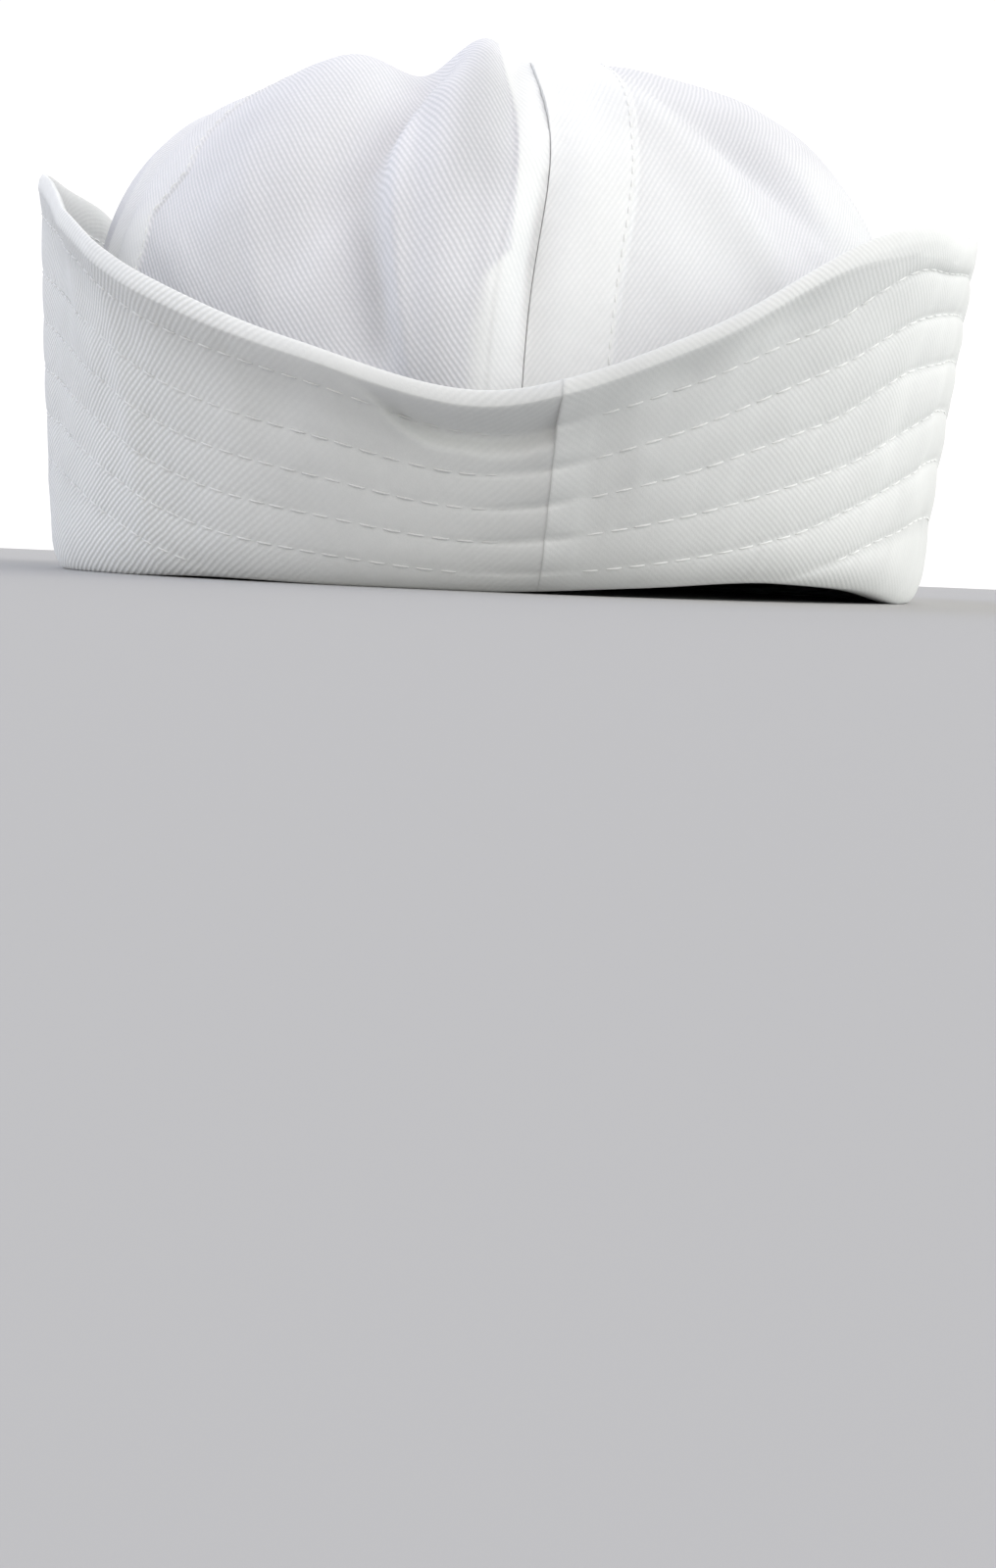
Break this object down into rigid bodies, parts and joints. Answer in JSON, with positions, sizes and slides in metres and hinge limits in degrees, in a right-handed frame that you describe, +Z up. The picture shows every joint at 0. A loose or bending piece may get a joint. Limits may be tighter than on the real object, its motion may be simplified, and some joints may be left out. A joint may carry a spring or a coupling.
{
  "type": "sailor cap",
  "caption": "Round white cotton sailor cap with a soft gored crown and a tall turned-up brim, quilted with rows of stitching.",
  "frame": {"origin": "on the surface the cap rests on, under the middle of its bounding box", "axes": "+Z up through the crown, -Y towards the front of the cap, +X towards the right as seen from the front"},
  "size_m": [0.2021, 0.2235, 0.102],
  "materials": {
    "crown_twill": "matte white cotton twill",
    "brim_twill": "matte white cotton twill, quilted",
    "stitch_thread": "white cotton thread"
  },
  "bodies": {
    "root": {"crown_gore_front_right": "crown_twill", "crown_gore_side_right": "crown_twill", "crown_gore_back_right": "crown_twill", "crown_gore_back_left": "crown_twill", "crown_gore_side_left": "crown_twill", "crown_gore_front_left": "crown_twill", "brim_right": "brim_twill", "brim_left": "brim_twill"}
  },
  "joints": []
}
